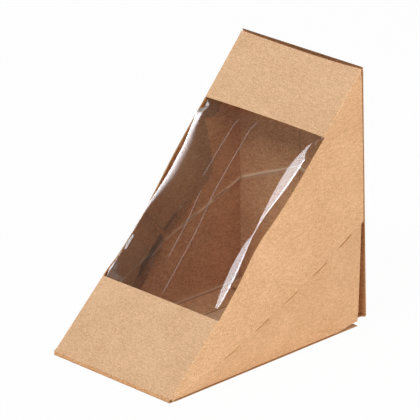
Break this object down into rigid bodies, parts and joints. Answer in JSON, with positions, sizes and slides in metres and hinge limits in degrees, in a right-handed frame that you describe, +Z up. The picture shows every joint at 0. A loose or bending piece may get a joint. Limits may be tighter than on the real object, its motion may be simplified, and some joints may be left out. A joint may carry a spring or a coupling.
{
  "type": "sandwich wedge pack",
  "caption": "Triangular kraft board sandwich carton with a clear film window across its sloped face and a hinged lid over its open back.",
  "frame": {"origin": "middle of the underside of the base panel", "axes": "+Z up, +X across the width, the sloped window face looks towards -Y and the lid closes the +Y side"},
  "size_m": [0.0815, 0.1235, 0.1241],
  "materials": {
    "kraft_board": "uncoated matt kraft",
    "clear_film": "clear gloss"
  },
  "bodies": {
    "carton": {"carton": "kraft_board", "window_film": "clear_film"},
    "lid": {"back_lid": "kraft_board"}
  },
  "joints": [
    {"name": "lid_hinge", "type": "hinge", "parent": "carton", "child": "lid", "pos_m": [0, 0.0589, 0.1224], "axis": [1, 0, 0], "range_deg": [-2, 120]}
  ]
}
